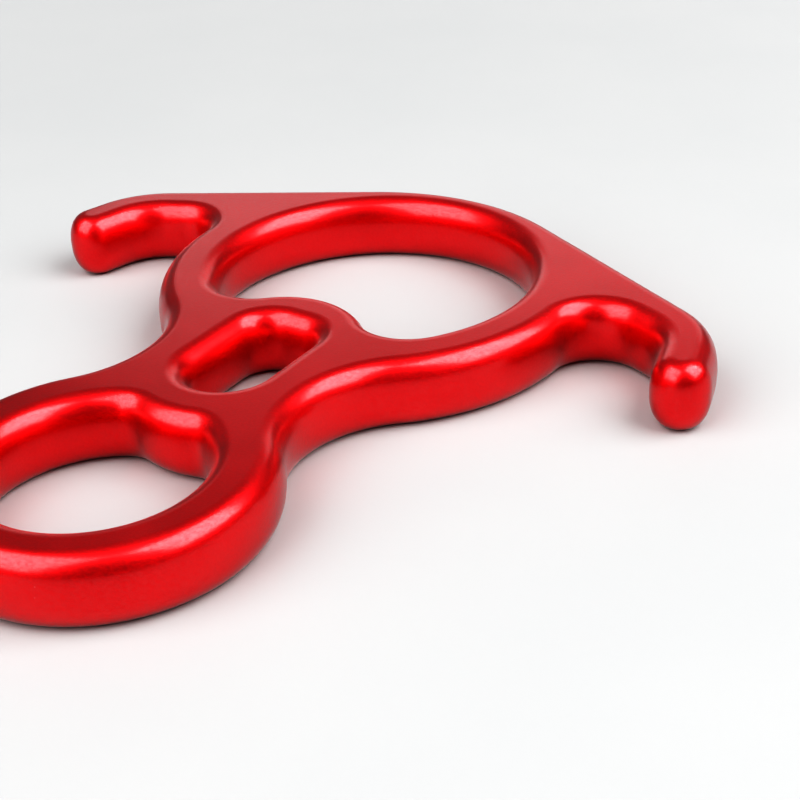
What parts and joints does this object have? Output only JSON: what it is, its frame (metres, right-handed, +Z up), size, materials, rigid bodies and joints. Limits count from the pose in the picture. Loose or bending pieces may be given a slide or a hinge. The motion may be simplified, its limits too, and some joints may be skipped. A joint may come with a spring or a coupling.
{
  "type": "belay device",
  "caption": "Figure-eight rope descender with bent ears: a flat forged plate with a large rope ring, a slotted neck and a small carabiner ring.",
  "frame": {"origin": "middle of the underside of the bounding box, on the surface that the device lies on", "axes": "+X to one ear, +Y along the device towards the large ring's crown, +Z up through the plate's thickness"},
  "size_m": [0.1482, 0.15, 0.0135],
  "materials": {
    "red_anodised_aluminium": "satin red anodised"
  },
  "bodies": {
    "root": {"descender_forging": "red_anodised_aluminium"}
  },
  "joints": []
}
